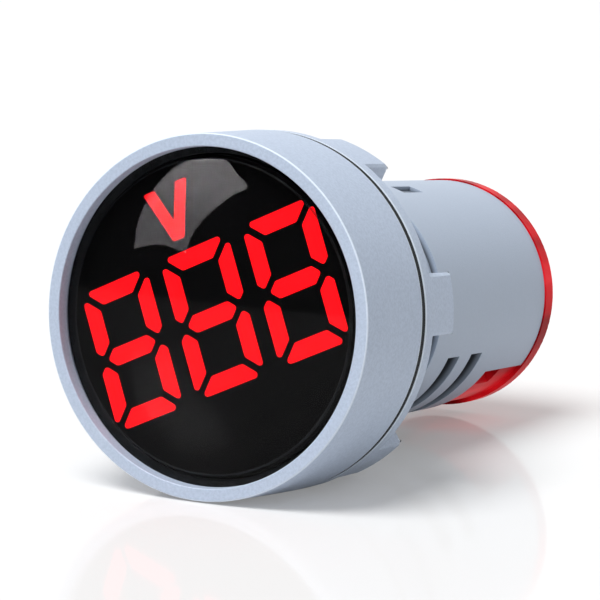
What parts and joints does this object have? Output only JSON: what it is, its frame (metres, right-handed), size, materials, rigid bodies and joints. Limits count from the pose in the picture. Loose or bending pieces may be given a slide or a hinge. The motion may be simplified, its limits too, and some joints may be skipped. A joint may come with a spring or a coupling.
{
  "type": "digital panel meter",
  "caption": "Round digital voltmeter for a 22 mm panel hole, with a smoked window, red seven-segment digits, a barrel, a lugged ring nut and a red terminal cover.",
  "frame": {"origin": "on the barrel's axis, where the front of the panel meets the gasket behind the bezel", "axes": "+Y along the barrel's axis from the display to the terminals, +Z towards the top of the display, +X to the right as seen from the front"},
  "size_m": [0.0296, 0.0465, 0.0296],
  "materials": {
    "grey_plastic": "satin grey-blue moulding with a fine grain",
    "smoked_window": "glossy smoked black",
    "black_rubber": "matt black",
    "black_plastic": "matt black",
    "red_light_guide": "lit red",
    "chip_resin": "clear resin",
    "circuit_board": "green solder mask",
    "chip_package": "matt black moulding",
    "header_plastic": "matt black",
    "capacitor_case": "yellow case",
    "capacitor_can": "dark sleeve",
    "resistor_body": "grey-blue coat",
    "red_moulding": "deep red moulding",
    "red_cover": "translucent red moulding",
    "brass_plate": "plain brass",
    "plated_steel": "zinc plated"
  },
  "bodies": {
    "housing": {"bezel": "grey_plastic", "barrel": "grey_plastic", "lens": "smoked_window", "lens_seal": "black_rubber", "panel_gasket": "black_rubber", "display_housing": "black_plastic", "digit_left": "red_light_guide", "digit_middle": "red_light_guide", "digit_right": "red_light_guide", "volt_symbol": "red_light_guide", "led_chips": "chip_resin", "display_board": "circuit_board", "power_board": "circuit_board", "driver_chip": "chip_package", "bridge_rectifier": "chip_package", "regulator": "chip_package", "board_link": "header_plastic", "dropper_capacitor": "capacitor_case", "smoothing_capacitor": "capacitor_can", "fuse_resistor": "resistor_body", "terminal_block": "red_moulding", "terminal_plate_left": "brass_plate", "terminal_plate_right": "brass_plate"},
    "nut": {"ring_nut": "grey_plastic"},
    "cover": {"terminal_cover": "red_cover"},
    "left_clamp": {"clamp_washer_left": "plated_steel"},
    "right_clamp": {"clamp_washer_right": "plated_steel"},
    "left_screw": {"terminal_screw_left": "plated_steel"},
    "right_screw": {"terminal_screw_right": "plated_steel"}
  },
  "joints": [
    {"name": "nut_slide", "type": "slide", "parent": "housing", "child": "nut", "axis": [0, 1, 0], "range_m": [0, 0.005]},
    {"name": "cover_slide", "type": "slide", "parent": "housing", "child": "cover", "axis": [0, 1, 0], "range_m": [0, 0.012]},
    {"name": "left_clamp_slide", "type": "slide", "parent": "housing", "child": "left_clamp", "axis": [0, 1, 0], "range_m": [0, 0.0025]},
    {"name": "left_screw_turn", "type": "hinge", "parent": "left_clamp", "child": "left_screw", "pos_m": [-0.0046, 0.0298, 0.0009], "axis": [0, 1, 0], "range_deg": [0, 1800]},
    {"name": "right_clamp_slide", "type": "slide", "parent": "housing", "child": "right_clamp", "axis": [0, 1, 0], "range_m": [0, 0.0025]},
    {"name": "right_screw_turn", "type": "hinge", "parent": "right_clamp", "child": "right_screw", "pos_m": [0.0046, 0.0298, 0.0009], "axis": [0, 1, 0], "range_deg": [0, 1800]}
  ]
}
